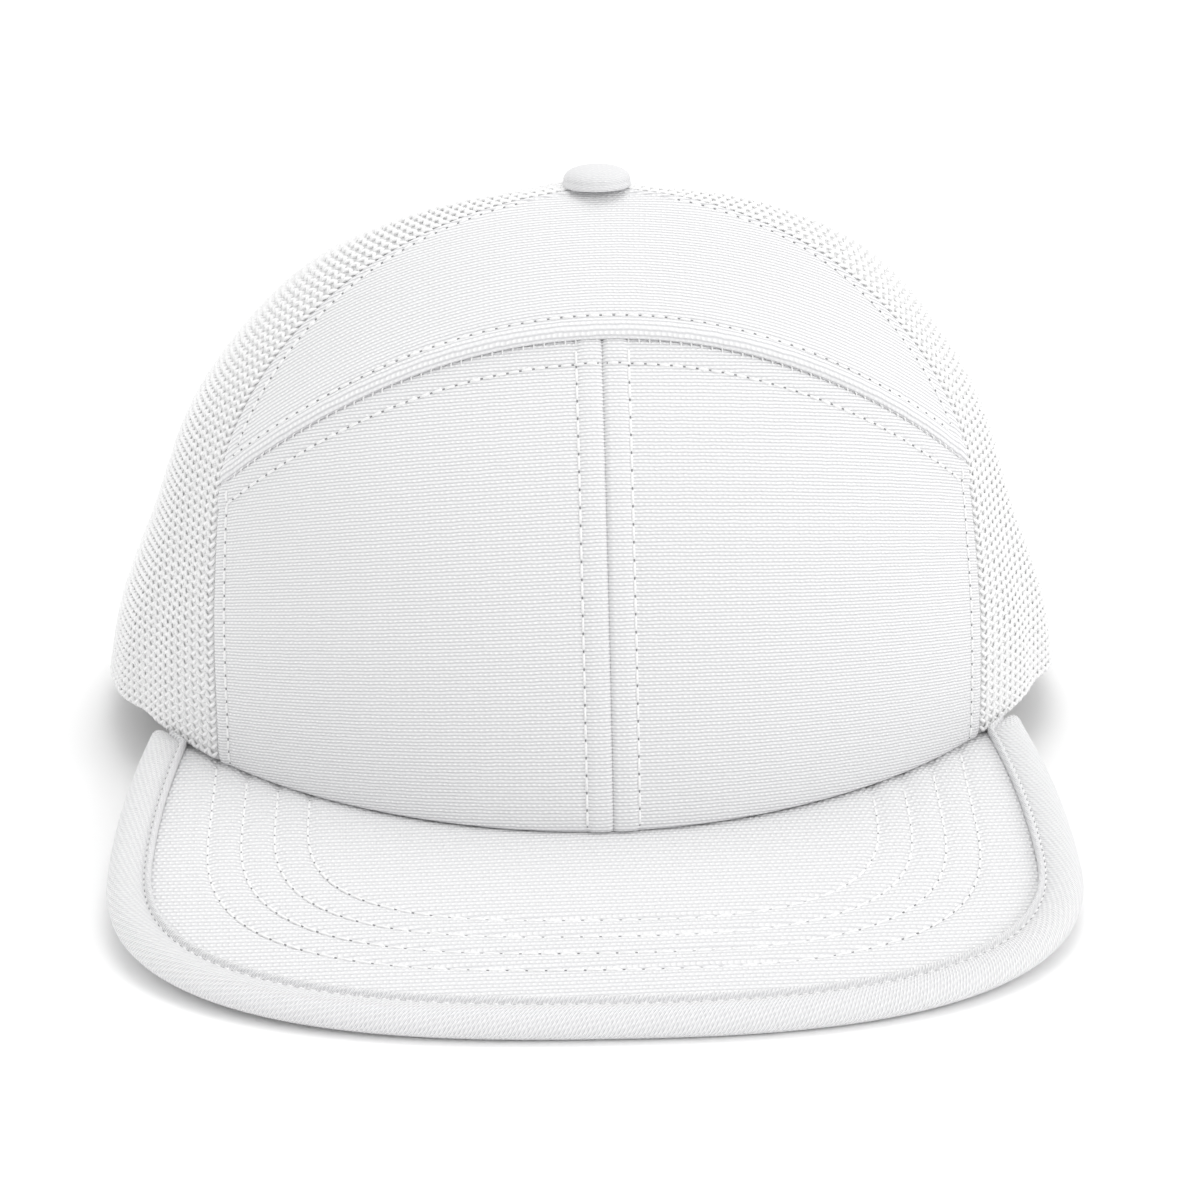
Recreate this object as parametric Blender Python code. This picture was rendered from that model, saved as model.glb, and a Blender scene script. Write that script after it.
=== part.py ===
"""A seven panel trucker cap with a flat peak, standing on a table. Metres, +Z up, peak towards -Y.

The crown is one surface, given by a table of sections between the rim and the button. Each panel is a wall over
its own stretch of that surface, from seam to seam. The peak lies in a plane that slopes down to the table.
"""

import math

import bmesh
import bpy
import numpy as np
from mathutils import Matrix, Vector

# Crown
crown_half_width = 0.0983  # widest line to the side, at the rim
front_reach = 0.0889  # widest line to the front of the rim
back_reach = 0.0980  # widest line to the back of the rim
crown_rise = 0.1090  # front of the rim to the button's seat
button_forward = 0.0245  # widest line to the button
crown_lean = 0.0020  # the crown's top leans this far to one side
back_squareness = 2.1  # 2 is an ellipse, more is squarer
flat_run = 0.012  # stretch of the rear rim that lies flat on the table
rim_easing = 0.008  # half length of the rim's two soft bends

# Seams, as azimuths from the front in degrees
arc_peak_share = 0.53  # height of the arc seam at the front, up the crown's own curve
arc_fall_share = 0.20  # how far it falls to its ends
back_seam_azimuth = 118.0
crown_end_share = 0.97  # where the panels end under the button

# Walls and clearance
front_wall = 0.0020
mesh_wall = 0.0015
piece_gap = 0.0003
roll_depth = 0.008  # padded lower edge of the top panel
roll_lift = 0.0014

# Peak and its binding
peak_length = 0.0700
peak_half_width = 0.0914
peak_widest_forward = 0.008  # front of the rim to the peak's widest line
peak_squareness = 2.6
peak_taper = 0.0048  # each side draws in by this much over the taper's run
peak_taper_run = 0.054
peak_turn = math.radians(2.5)  # the peak is sewn on a little turned
peak_slope = math.radians(4.5)
peak_board = 0.0020
peak_seat_depth = 0.0018  # how far the board runs under the crown's wall
binding_width = 0.0084
binding_wall = 0.0010
tip_width = 0.0042  # the peak's width beside the crown, where it ends

# Rear arch, strap, sweatband and button
arch_half_width = 0.036
arch_height = 0.044
strap_height = 0.018
strap_wall = 0.0016
strap_tab = 0.012  # length of strap hidden behind the panel at each end
sweatband_height = 0.030
sweatband_wall = 0.0014
button_radius = 0.0067
button_height = 0.0040

# Sections of the crown from rim to button. The first column is the share of the way up the crown's curve. A rise
# is a share of the height above the rim, and a reach is a share of the rim's own reach on that side.
sections = [
    # way, side_rise, side_reach, front_rise, front_reach, back_rise, back_reach, squareness
    (0.00, 0.000, 1.000, 0.000, 1.000, 0.000, 1.000, 1.92),
    (0.10, 0.150, 0.968, 0.151, 0.926, 0.155, 0.997, 2.02),
    (0.24, 0.350, 0.888, 0.365, 0.803, 0.335, 0.965, 2.12),
    (0.38, 0.550, 0.812, 0.590, 0.643, 0.500, 0.896, 2.15),
    (0.51, 0.720, 0.698, 0.780, 0.453, 0.625, 0.768, 2.12),
    (0.63, 0.850, 0.564, 0.905, 0.273, 0.735, 0.613, 2.06),
    (0.76, 0.940, 0.370, 0.972, 0.120, 0.830, 0.445, 2.00),
    (0.89, 0.984, 0.165, 0.993, 0.050, 0.925, 0.240, 2.00),
    (1.00, 1.000, 0.000, 1.000, 0.000, 1.000, 0.000, 2.00),
]

# The seam between the front and the side mesh, from rim to button.
side_seam = [
    # way, azimuth
    (0.0, 51.0),
    (0.1, 52.5),
    (0.2, 56.5),
    (0.3, 60.5),
    (0.4, 62.5),
    (0.5, 60.5),
    (0.6, 54.5),
    (0.7, 46.5),
    (0.8, 40.0),
    (0.9, 38.0),
    (1.0, 38.0),
]

# The covered button's outline, from its underside to its top.
button_profile = [
    # radius, height, as shares of the button's own
    (0.92, 0.00),
    (1.00, 0.13),
    (0.98, 0.34),
    (0.86, 0.60),
    (0.64, 0.83),
    (0.34, 0.96),
]

front_columns = 12
panel_rows = 20
arch_rows = 9
mesh_columns = 10
band_columns = 56
peak_stations = 52
button_sides = 24


def smooth_curve(xs, ys):
    """A natural cubic spline through the points, as a function that takes arrays."""
    xs, ys = np.asarray(xs, float), np.asarray(ys, float)
    step = np.diff(xs)
    matrix, right = np.eye(len(xs)), np.zeros(len(xs))
    for i in range(1, len(xs) - 1):
        matrix[i, i - 1 : i + 2] = step[i - 1], 2 * (step[i - 1] + step[i]), step[i]
        right[i] = 6 * ((ys[i + 1] - ys[i]) / step[i] - (ys[i] - ys[i - 1]) / step[i - 1])
    bend = np.linalg.solve(matrix, right)

    def value(x):
        x = np.asarray(x, float)
        i = np.clip(np.searchsorted(xs, x) - 1, 0, len(step) - 1)
        after, before, width = xs[i + 1] - x, x - xs[i], step[i]
        cubic = (bend[i] * after**3 + bend[i + 1] * before**3) / (6 * width)
        start = (ys[i] / width - bend[i] * width / 6) * after
        return cubic + start + (ys[i + 1] / width - bend[i + 1] * width / 6) * before

    return value


def section_curve(column, mirrored):
    """One column of the sections, run on past the button as its mirror, so that the crown's top is round."""
    table = np.array(sections)
    beyond = table[-2:-4:-1]
    sign = -1 if mirrored else 1
    return smooth_curve(
        np.append(table[:, 0], 2 - beyond[:, 0]), np.append(table[:, column], sign * beyond[:, column])
    )


side_rise, side_reach = section_curve(1, False), section_curve(2, True)
front_rise, front_share = section_curve(3, False), section_curve(4, True)
back_rise, back_share = section_curve(5, False), section_curve(6, True)
front_squareness = section_curve(7, False)
seam_azimuth = smooth_curve(*zip(*side_seam))

binding_half = peak_board / 2 + piece_gap + binding_wall


def eased(distance, half_span):
    """Zero before, the distance itself after, and a parabola between."""
    inside = (distance + half_span) ** 2 / (4 * half_span)
    return np.where(distance < -half_span, 0, np.where(distance > half_span, distance, inside))


def rim_plan(azimuth):
    """Plan of the rim's outer edge."""
    sine, cosine = np.sin(azimuth), np.cos(azimuth)
    square = np.where(cosine > 0, sections[0][7], back_squareness)
    reach = np.where(cosine > 0, front_reach, back_reach)
    x = crown_half_width * np.sign(sine) * np.abs(sine) ** (2 / square)
    return x, -np.sign(cosine) * reach * np.abs(cosine) ** (2 / square)


def outside_rim(x, y):
    """Above zero outside the front half of the rim, in plan."""
    square = sections[0][7]
    return np.abs(x / crown_half_width) ** square + np.abs(min(y, 0) / front_reach) ** square - 1


def turned(plan):
    """Points of the peak's plan, turned about the crown's middle."""
    sine, cosine = math.sin(peak_turn), math.cos(peak_turn)
    x, y = plan[:, 0], plan[:, 1]
    return np.stack([x * cosine + y * sine, y * cosine - x * sine], axis=1)


def peak_outline():
    """The peak's outer edge in plan, from its left tip to its right one. It ends where it nears the crown."""
    widest = -front_reach - peak_widest_forward
    depth = peak_length - peak_widest_forward
    half = []
    for a in np.linspace(0, math.pi / 2, 181):
        x = peak_half_width * math.sin(a) ** (2 / peak_squareness)
        half.append((x, widest - depth * max(math.cos(a), 0) ** (2 / peak_squareness)))
    for run in np.linspace(0, front_reach + peak_widest_forward, 200)[1:]:
        half.append((peak_half_width - peak_taper * (run / peak_taper_run) ** 2, widest + run))
    half = np.array(half)
    whole = turned(np.concatenate([half[::-1] * (-1, 1), half[1:]]))
    inner = whole[:, 0] - np.sign(whole[:, 0]) * tip_width
    return whole[[outside_rim(x, y) > 0 for x, y in zip(inner, whole[:, 1])]]


def resampled(points, count):
    """The same line with count equal steps."""
    steps = np.linalg.norm(np.diff(points, axis=0), axis=1)
    length = np.append(0, np.cumsum(steps))
    at = np.linspace(0, length[-1], count + 1)
    return np.stack([np.interp(at, length, points[:, k]) for k in range(2)], axis=1)


peak_line = resampled(peak_outline(), peak_stations)
peak_front = peak_line[:, 1].min()


def peak_middle(y):
    """Height of the middle of the peak's board. The binding's underside touches the table at the front."""
    return binding_half + math.tan(peak_slope) * (y - peak_front - binding_half)


rim_turn = peak_line[:, 1].max() + rim_easing
rear_flat = back_reach - flat_run


def rim_height(y):
    """The rim follows the peak's plane to its tips, bends down to the table, and lies flat at the rear."""
    start = peak_middle(y) + peak_board / 2 + piece_gap
    rise = math.tan(peak_slope)
    top = peak_middle(rim_turn) + peak_board / 2 + piece_gap
    fall = top / (rear_flat - rim_turn)
    return start - (rise + fall) * eased(y - rim_turn, rim_easing) + fall * eased(y - rear_flat, rim_easing)


button_seat_height = float(rim_height(-front_reach)) + crown_rise


def crown_point(azimuth, way):
    """The crown's outer surface, at azimuths in radians from the front and at shares of the way up."""
    azimuth, way = np.broadcast_arrays(np.asarray(azimuth, float), np.asarray(way, float))
    sine, cosine = np.sin(azimuth), np.cos(azimuth)
    square = np.where(cosine > 0, front_squareness(way), back_squareness)
    x = crown_half_width * side_reach(way) * np.sign(sine) * np.abs(sine) ** (2 / square)
    x = x + crown_lean * side_rise(way) ** 4
    reach = np.where(cosine > 0, front_reach * front_share(way), back_reach * back_share(way))
    middle = -button_forward * side_rise(way)
    y = middle - np.sign(cosine) * reach * np.abs(cosine) ** (2 / square)
    tilt = (front_rise(way) - back_rise(way)) / 2
    crest = (front_rise(way) + back_rise(way)) / 2 - side_rise(way)
    rise = side_rise(way) + tilt * cosine + crest * cosine**2
    base = rim_height(rim_plan(azimuth)[1])
    return np.stack([x, y, base + (button_seat_height - base) * rise], axis=-1)


def crown_normal(azimuth, way):
    """The outward normal, from a small step along each direction of the surface."""
    turn, climb = 0.01, 0.004
    along = crown_point(azimuth + turn, way) - crown_point(azimuth - turn, way)
    up = crown_point(azimuth, way + climb) - crown_point(azimuth, way - climb)
    normal = np.cross(along, up)
    return normal / np.linalg.norm(normal, axis=-1, keepdims=True)


def material(name, colour, roughness):
    made = bpy.data.materials.new(name)
    made.use_nodes = True
    shader = made.node_tree.nodes["Principled BSDF"]
    shader.inputs["Base Color"].default_value = (*colour, 1)
    shader.inputs["Roughness"].default_value = roughness
    return made


def add_object(name, mesh_builder, finish):
    """A named object under the cap's empty, from a bmesh."""
    bmesh.ops.recalc_face_normals(mesh_builder, faces=mesh_builder.faces)
    mesh = bpy.data.meshes.new(name)
    mesh_builder.to_mesh(mesh)
    mesh_builder.free()
    mesh.shade_smooth()
    mesh.set_sharp_from_angle(angle=math.radians(50))
    mesh.materials.append(finish)
    made = bpy.data.objects.new(name, mesh)
    bpy.context.scene.collection.objects.link(made)
    made.parent = cap
    return made


def drawn_in(points, left, right, low, high):
    """A grid of points whose named edges are drawn in by half a gap, towards their neighbours."""
    points = points.copy()
    for wanted, edge, inner in (
        (left, np.s_[:, 0], np.s_[:, 1]),
        (right, np.s_[:, -1], np.s_[:, -2]),
        (low, np.s_[0], np.s_[1]),
        (high, np.s_[-1], np.s_[-2]),
    ):
        if wanted:
            inward = points[inner] - points[edge]
            points[edge] += inward / np.linalg.norm(inward, axis=-1, keepdims=True) * piece_gap / 2
    return points


def wall_between(name, outer, inner, finish):
    """A closed wall between two grids of points, rows from low to high."""
    rows, columns = outer.shape[:2]
    builder = bmesh.new()
    skins = [[[builder.verts.new(p) for p in row] for row in skin] for skin in (outer, inner)]
    for skin in skins:
        for j in range(rows - 1):
            for i in range(columns - 1):
                builder.faces.new((skin[j][i], skin[j][i + 1], skin[j + 1][i + 1], skin[j + 1][i]))
    around = [(0, i) for i in range(columns)]
    around += [(j, columns - 1) for j in range(1, rows)]
    around += [(rows - 1, i) for i in range(columns - 2, -1, -1)]
    around += [(j, 0) for j in range(rows - 2, 0, -1)]
    for (j, i), (n, m) in zip(around, around[1:] + around[:1]):
        builder.faces.new((skins[0][j][i], skins[1][j][i], skins[1][n][m], skins[0][n][m]))
    return add_object(name, builder, finish)


def crown_wall(name, azimuth, way, depth, thickness, finish, lift=0.0, edges=(True, True, False, True)):
    """A wall that lies depth under the crown's surface. Its low edge lies level where it is the rim."""
    normal = crown_normal(azimuth, way)
    lift = np.broadcast_to(lift, way.shape)[..., None]
    surface = drawn_in(crown_point(azimuth, way), *edges)
    inner_normal = normal.copy()
    at_rim = way < 1e-9
    inner_normal[at_rim, 2] = 0
    inner_normal /= np.linalg.norm(inner_normal, axis=-1, keepdims=True)
    outer = surface + normal * lift - inner_normal * depth
    return wall_between(name, outer, surface - inner_normal * (depth + thickness), finish)


def arc_way(azimuth_degrees):
    """The arc seam over the brow."""
    corner = side_seam_corner()
    return arc_peak_share - arc_fall_share * (azimuth_degrees / corner[0]) ** 2


def side_seam_corner():
    """Azimuth in degrees and way up at which the arc seam ends on the side seam."""
    way = arc_peak_share - arc_fall_share
    return float(seam_azimuth(way)), way


def front_panel(name, side, finish):
    """One of the two tall front panels, from the centre seam to the side seam."""
    corner_azimuth, corner_way = side_seam_corner()
    across, up = np.meshgrid(np.linspace(0, 1, front_columns + 1), np.linspace(0, 1, panel_rows // 2 + 1))
    azimuth = side * across * seam_azimuth(up * corner_way)
    way = up * arc_way(across * corner_azimuth)
    return crown_wall(name, np.radians(azimuth), way, 0, front_wall, finish)


def top_panel(name, finish):
    """The crescent over the brow. Its lower edge is a padded roll that stands over the front panels."""
    corner_azimuth, corner_way = side_seam_corner()
    middle_length = np.linalg.norm(
        crown_point(0.0, arc_peak_share) - crown_point(0.0, (arc_peak_share + crown_end_share) / 2)
    ) + np.linalg.norm(crown_point(0.0, (arc_peak_share + crown_end_share) / 2) - crown_point(0.0, crown_end_share))
    roll_share = roll_depth / middle_length
    roll_rows = 4
    low = roll_share * (np.arange(roll_rows) / roll_rows) ** 2
    heights = np.append(low, np.linspace(roll_share, 1, panel_rows // 2 + 1))
    across, up = np.meshgrid(np.linspace(-1, 1, 2 * front_columns + 1), heights)
    way = arc_way(np.abs(across) * corner_azimuth) * (1 - up) + crown_end_share * up
    azimuth = across * seam_azimuth(corner_way * (1 - up) + crown_end_share * up)
    rolled = np.clip(up / roll_share, 0, 1)
    lift = roll_lift * np.sin(math.pi * np.sqrt(rolled))
    return crown_wall(
        name, np.radians(azimuth), way, 0, front_wall, finish, lift=lift, edges=(True, True, True, True)
    )


def azimuth_at_rim(x):
    """Azimuth in radians of the point on the rear rim that is x from the middle."""
    return math.pi - math.asin((x / crown_half_width) ** (back_squareness / 2))


def way_at_height(height, azimuth):
    """How far up the crown's curve a height above the rim lies."""
    ways = np.linspace(0, 0.9, 181)
    points = crown_point(azimuth, ways)
    return float(np.interp(height, points[:, 2] - points[0, 2], ways))


def arch():
    """Azimuth in degrees where the rear arch starts, and the way up to its top."""
    return math.degrees(azimuth_at_rim(arch_half_width)), way_at_height(arch_height, math.pi)


def mesh_ways():
    """The rows of the mesh panels, closer together towards the top of the rear arch."""
    top = arch()[1]
    turns = np.linspace(0, math.pi / 2, arch_rows + 1)
    return np.append(top * np.sin(turns), np.linspace(top, crown_end_share, panel_rows - arch_rows + 1)[1:])


def mesh_panel(name, side, low, high, finish):
    """A mesh panel between two azimuths in degrees, given for each row."""
    way = mesh_ways()[:, None]
    across = np.linspace(0, 1, mesh_columns + 1)
    azimuth = side * (np.reshape(low, (-1, 1)) * (1 - across) + np.reshape(high, (-1, 1)) * across)
    return crown_wall(name, np.radians(azimuth), np.broadcast_to(way, azimuth.shape), 0, mesh_wall, finish)


def side_mesh(name, side, finish):
    """The mesh panel beside the front, from the side seam to the back seam."""
    way = mesh_ways()
    return mesh_panel(name, side, seam_azimuth(way), np.full(len(way), back_seam_azimuth), finish)


def back_mesh(name, side, finish):
    """The mesh panel behind, from the back seam to the middle, with half of the rear arch cut from its foot."""
    start, top = arch()
    way = mesh_ways()
    edge = 180 - (180 - start) * np.sqrt(np.clip(1 - (way / top) ** 2, 0, 1))
    return mesh_panel(name, side, np.full(len(way), back_seam_azimuth), edge, finish)


def band(name, start, end, columns, depth, height, thickness, finish):
    """A band inside the rim, between two azimuths in radians."""
    azimuths = np.linspace(start, end, columns + 1)
    tops = np.array([way_at_height(height, a) for a in azimuths])
    way = np.linspace(0, 1, 4)[:, None] * tops
    azimuth = np.broadcast_to(azimuths, way.shape)
    return crown_wall(name, azimuth, way, depth, thickness, finish, edges=(False,) * 4)


def peak_stations_inward():
    """The inward normal in plan at each station of the peak's edge, and the room from there to the crown."""
    along = np.gradient(peak_line, axis=0)
    inward = np.stack([-along[:, 1], along[:, 0]], axis=1)
    inward /= np.linalg.norm(inward, axis=1, keepdims=True)
    room = []
    for point, way_in in zip(peak_line, inward):
        near, far = 0.0, binding_width + peak_length
        for _ in range(30):
            middle = (near + far) / 2
            near, far = (middle, far) if outside_rim(*(point + way_in * middle)) > 0 else (near, middle)
        room.append(near)
    return inward, np.array(room)


def binding_section(width):
    """Inward distance and height of the binding's section, round its outside and back round its slot."""
    slot_height = peak_board / 2 + piece_gap
    nose = [(binding_half * (1 - math.sin(a)), binding_half * math.cos(a)) for a in np.linspace(0, math.pi, 7)]
    outside = [(width, binding_half), *nose, (width, -binding_half)]
    slot = [(width, -slot_height), (binding_half, -slot_height), (binding_half, slot_height), (width, slot_height)]
    return outside + slot


def visor_binding(name, finish):
    """The wide binding folded over the peak's edge. It narrows at its tips, beside the crown."""
    inward, room = peak_stations_inward()
    widths = np.minimum(binding_width, room - 2 * piece_gap)
    builder = bmesh.new()
    rings = []
    for point, way_in, width in zip(peak_line, inward, widths):
        ring = []
        for depth, height in binding_section(width):
            x, y = point + way_in * depth
            ring.append(builder.verts.new((x, y, float(peak_middle(y)) + height)))
        rings.append(ring)
    for first, second in zip(rings, rings[1:]):
        for k in range(len(first)):
            n = (k + 1) % len(first)
            builder.faces.new((first[k], first[n], second[n], second[k]))
    builder.faces.new(rings[0])
    builder.faces.new(rings[-1][::-1])
    return add_object(name, builder, finish)


def visor(name, finish):
    """The peak's flat board, from under the crown's wall into the binding's slot."""
    inward, _ = peak_stations_inward()
    edge = peak_line + inward * (binding_half + piece_gap)
    turns = np.linspace(0, math.pi / 2, 400)
    rim_y = rim_plan(turns)[1]
    left, right = np.interp(peak_line[[0, -1], 1], rim_y, turns)
    azimuths = np.linspace(-left, right, len(peak_line))
    x, y = rim_plan(azimuths)
    normal = crown_normal(azimuths, np.zeros(len(azimuths)))[:, :2]
    normal /= np.linalg.norm(normal, axis=1, keepdims=True)
    seat = np.stack([x, y], axis=1) - normal * peak_seat_depth
    skins = []
    for height in (peak_board / 2, -peak_board / 2):
        rows = [np.column_stack([row, peak_middle(row[:, 1]) + height]) for row in (seat, edge)]
        skins.append(np.array(rows))
    return wall_between(name, *skins, finish)


def button(name, finish):
    """The covered button, turned, seated on the crown's top and tilted with it."""
    around = np.linspace(0, 2 * math.pi, button_sides, endpoint=False)
    normal = crown_normal(around, np.full(button_sides, crown_end_share)).sum(axis=0)
    normal /= np.linalg.norm(normal)
    top = crown_point(0.0, 1.0)
    ways = np.linspace(0.8, crown_end_share, 12)[:, None]
    near = crown_point(around, ways).reshape(-1, 3) - top
    height = near @ normal
    beside = np.linalg.norm(near - np.outer(height, normal), axis=1)
    under = height[beside < button_radius * 1.1]
    seat = max(under.max(), 0.0) + piece_gap
    builder = bmesh.new()
    rings = []
    for radius, rise in button_profile:
        r, z = radius * button_radius, rise * button_height
        rings.append([builder.verts.new((r * math.cos(a), r * math.sin(a), z)) for a in around])
    for first, second in zip(rings, rings[1:]):
        for k in range(button_sides):
            n = (k + 1) % button_sides
            builder.faces.new((first[k], first[n], second[n], second[k]))
    builder.faces.new(rings[0][::-1])
    crest = builder.verts.new((0, 0, button_height))
    for k in range(button_sides):
        builder.faces.new((rings[-1][k], rings[-1][(k + 1) % button_sides], crest))
    lean = Vector((0, 0, 1)).rotation_difference(Vector(normal)).to_matrix().to_4x4()
    place = Matrix.Translation(Vector(top + normal * seat)) @ lean
    bmesh.ops.transform(builder, matrix=place, verts=builder.verts)
    return add_object(name, builder, finish)


for old in list(bpy.data.objects):
    bpy.data.objects.remove(old)

# The origin lies on the table under the middle of the cap's outline, from the peak's front to the strap's back.
strap_depth = mesh_wall + piece_gap
cap = bpy.data.objects.new("cap", None)
bpy.context.scene.collection.objects.link(cap)
cap.location = (0, -(back_reach - strap_depth + peak_front) / 2, 0)

cloth = material("front_cloth", (0.86, 0.86, 0.86), 0.85)
knit = material("mesh_knit", (0.84, 0.84, 0.84), 0.90)
edge_cloth = material("binding_cloth", (0.85, 0.85, 0.85), 0.88)
band_cloth = material("band_cloth", (0.80, 0.80, 0.80), 0.90)
strap_plastic = material("strap_plastic", (0.85, 0.85, 0.85), 0.45)

top_panel("top_panel", cloth)
for side, word in ((-1, "left"), (1, "right")):
    front_panel("front_panel_" + word, side, cloth)
    side_mesh("side_mesh_" + word, side, knit)
    back_mesh("back_mesh_" + word, side, knit)
button("button", cloth)
visor("visor", cloth)
visor_binding("visor_binding", edge_cloth)

arch_edge = azimuth_at_rim(arch_half_width)
tab_turn = strap_tab / crown_half_width
tab_clearance = piece_gap / crown_half_width
band(
    "sweatband",
    -(arch_edge - tab_turn - tab_clearance),
    arch_edge - tab_turn - tab_clearance,
    band_columns,
    front_wall + piece_gap,
    sweatband_height,
    sweatband_wall,
    band_cloth,
)
band(
    "rear_strap",
    arch_edge - tab_turn,
    2 * math.pi - arch_edge + tab_turn,
    band_columns // 3,
    strap_depth,
    strap_height,
    strap_wall,
    strap_plastic,
)
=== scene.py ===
import math

import bpy
import numpy as np
from mathutils import Matrix, Vector


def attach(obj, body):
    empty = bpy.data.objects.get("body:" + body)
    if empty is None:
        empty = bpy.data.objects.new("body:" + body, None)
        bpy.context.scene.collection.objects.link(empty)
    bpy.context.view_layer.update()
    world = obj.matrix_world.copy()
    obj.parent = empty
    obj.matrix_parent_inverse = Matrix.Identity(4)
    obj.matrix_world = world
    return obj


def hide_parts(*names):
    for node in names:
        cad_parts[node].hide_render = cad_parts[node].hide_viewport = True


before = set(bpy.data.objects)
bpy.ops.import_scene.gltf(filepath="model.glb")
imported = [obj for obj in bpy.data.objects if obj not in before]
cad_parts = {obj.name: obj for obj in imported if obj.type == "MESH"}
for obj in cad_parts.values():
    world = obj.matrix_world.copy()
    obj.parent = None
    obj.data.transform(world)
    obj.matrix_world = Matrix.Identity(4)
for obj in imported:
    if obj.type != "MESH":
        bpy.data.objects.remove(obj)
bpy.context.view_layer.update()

mm = 0.001

# Sizes of the cap, the same as its solids have
crown_half_width = 0.0983
front_reach = 0.0889
back_reach = 0.0980
crown_rise = 0.1090
button_forward = 0.0245
crown_lean = 0.0020
back_squareness = 2.1
flat_run = 0.012
rim_easing = 0.008
arc_peak_share = 0.53
arc_fall_share = 0.20
back_seam_azimuth = 118.0
crown_end_share = 0.97
front_wall = 0.0020
mesh_wall = 0.0015
piece_gap = 0.0003
peak_length = 0.0700
peak_half_width = 0.0914
peak_widest_forward = 0.008
peak_squareness = 2.6
peak_taper = 0.0048
peak_taper_run = 0.054
peak_turn = math.radians(2.5)
peak_slope = math.radians(4.5)
peak_board = 0.0020
peak_seat_depth = 0.0018
binding_width = 0.0084
binding_wall = 0.0010
tip_width = 0.0042
arch_half_width = 0.036
arch_height = 0.044
strap_height = 0.018
strap_wall = 0.0016
strap_tab = 0.012
sweatband_height = 0.030
sweatband_wall = 0.0014
button_radius = 0.0067
button_height = 0.0040

sections = [
    # way, side_rise, side_reach, front_rise, front_reach, back_rise, back_reach, squareness
    (0.00, 0.000, 1.000, 0.000, 1.000, 0.000, 1.000, 1.92),
    (0.10, 0.150, 0.968, 0.151, 0.926, 0.155, 0.997, 2.02),
    (0.24, 0.350, 0.888, 0.365, 0.803, 0.335, 0.965, 2.12),
    (0.38, 0.550, 0.812, 0.590, 0.643, 0.500, 0.896, 2.15),
    (0.51, 0.720, 0.698, 0.780, 0.453, 0.625, 0.768, 2.12),
    (0.63, 0.850, 0.564, 0.905, 0.273, 0.735, 0.613, 2.06),
    (0.76, 0.940, 0.370, 0.972, 0.120, 0.830, 0.445, 2.00),
    (0.89, 0.984, 0.165, 0.993, 0.050, 0.925, 0.240, 2.00),
    (1.00, 1.000, 0.000, 1.000, 0.000, 1.000, 0.000, 2.00),
]

side_seam = [
    # way, azimuth
    (0.0, 51.0),
    (0.1, 52.5),
    (0.2, 56.5),
    (0.3, 60.5),
    (0.4, 62.5),
    (0.5, 60.5),
    (0.6, 54.5),
    (0.7, 46.5),
    (0.8, 40.0),
    (0.9, 38.0),
    (1.0, 38.0),
]


def smooth_curve(xs, ys):
    """A natural cubic spline through the points, as a function that takes arrays."""
    xs, ys = np.asarray(xs, float), np.asarray(ys, float)
    step = np.diff(xs)
    matrix, right = np.eye(len(xs)), np.zeros(len(xs))
    for i in range(1, len(xs) - 1):
        matrix[i, i - 1 : i + 2] = step[i - 1], 2 * (step[i - 1] + step[i]), step[i]
        right[i] = 6 * ((ys[i + 1] - ys[i]) / step[i] - (ys[i] - ys[i - 1]) / step[i - 1])
    bend = np.linalg.solve(matrix, right)

    def value(x):
        x = np.asarray(x, float)
        i = np.clip(np.searchsorted(xs, x) - 1, 0, len(step) - 1)
        after, before, width = xs[i + 1] - x, x - xs[i], step[i]
        cubic = (bend[i] * after**3 + bend[i + 1] * before**3) / (6 * width)
        start = (ys[i] / width - bend[i] * width / 6) * after
        return cubic + start + (ys[i + 1] / width - bend[i + 1] * width / 6) * before

    return value


def section_curve(column, mirrored):
    """One column of the sections, run on past the button as its mirror, so that the crown's top is round."""
    table = np.array(sections)
    beyond = table[-2:-4:-1]
    sign = -1 if mirrored else 1
    return smooth_curve(
        np.append(table[:, 0], 2 - beyond[:, 0]), np.append(table[:, column], sign * beyond[:, column])
    )


side_rise, side_reach = section_curve(1, False), section_curve(2, True)
front_rise, front_share = section_curve(3, False), section_curve(4, True)
back_rise, back_share = section_curve(5, False), section_curve(6, True)
front_squareness = section_curve(7, False)
seam_azimuth = smooth_curve(*zip(*side_seam))

binding_half = peak_board / 2 + piece_gap + binding_wall
strap_depth = mesh_wall + piece_gap


def eased(distance, half_span):
    """Zero before, the distance itself after, and a parabola between."""
    inside = (distance + half_span) ** 2 / (4 * half_span)
    return np.where(distance < -half_span, 0, np.where(distance > half_span, distance, inside))


def rim_plan(azimuth):
    """Plan of the rim's outer edge."""
    sine, cosine = np.sin(azimuth), np.cos(azimuth)
    square = np.where(cosine > 0, sections[0][7], back_squareness)
    reach = np.where(cosine > 0, front_reach, back_reach)
    x = crown_half_width * np.sign(sine) * np.abs(sine) ** (2 / square)
    return x, -np.sign(cosine) * reach * np.abs(cosine) ** (2 / square)


def outside_rim(x, y):
    """Above zero outside the front half of the rim, in plan."""
    square = sections[0][7]
    return np.abs(x / crown_half_width) ** square + np.abs(min(y, 0) / front_reach) ** square - 1


def turned(plan):
    """Points of the peak's plan, turned about the crown's middle."""
    sine, cosine = math.sin(peak_turn), math.cos(peak_turn)
    x, y = plan[:, 0], plan[:, 1]
    return np.stack([x * cosine + y * sine, y * cosine - x * sine], axis=1)


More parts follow.
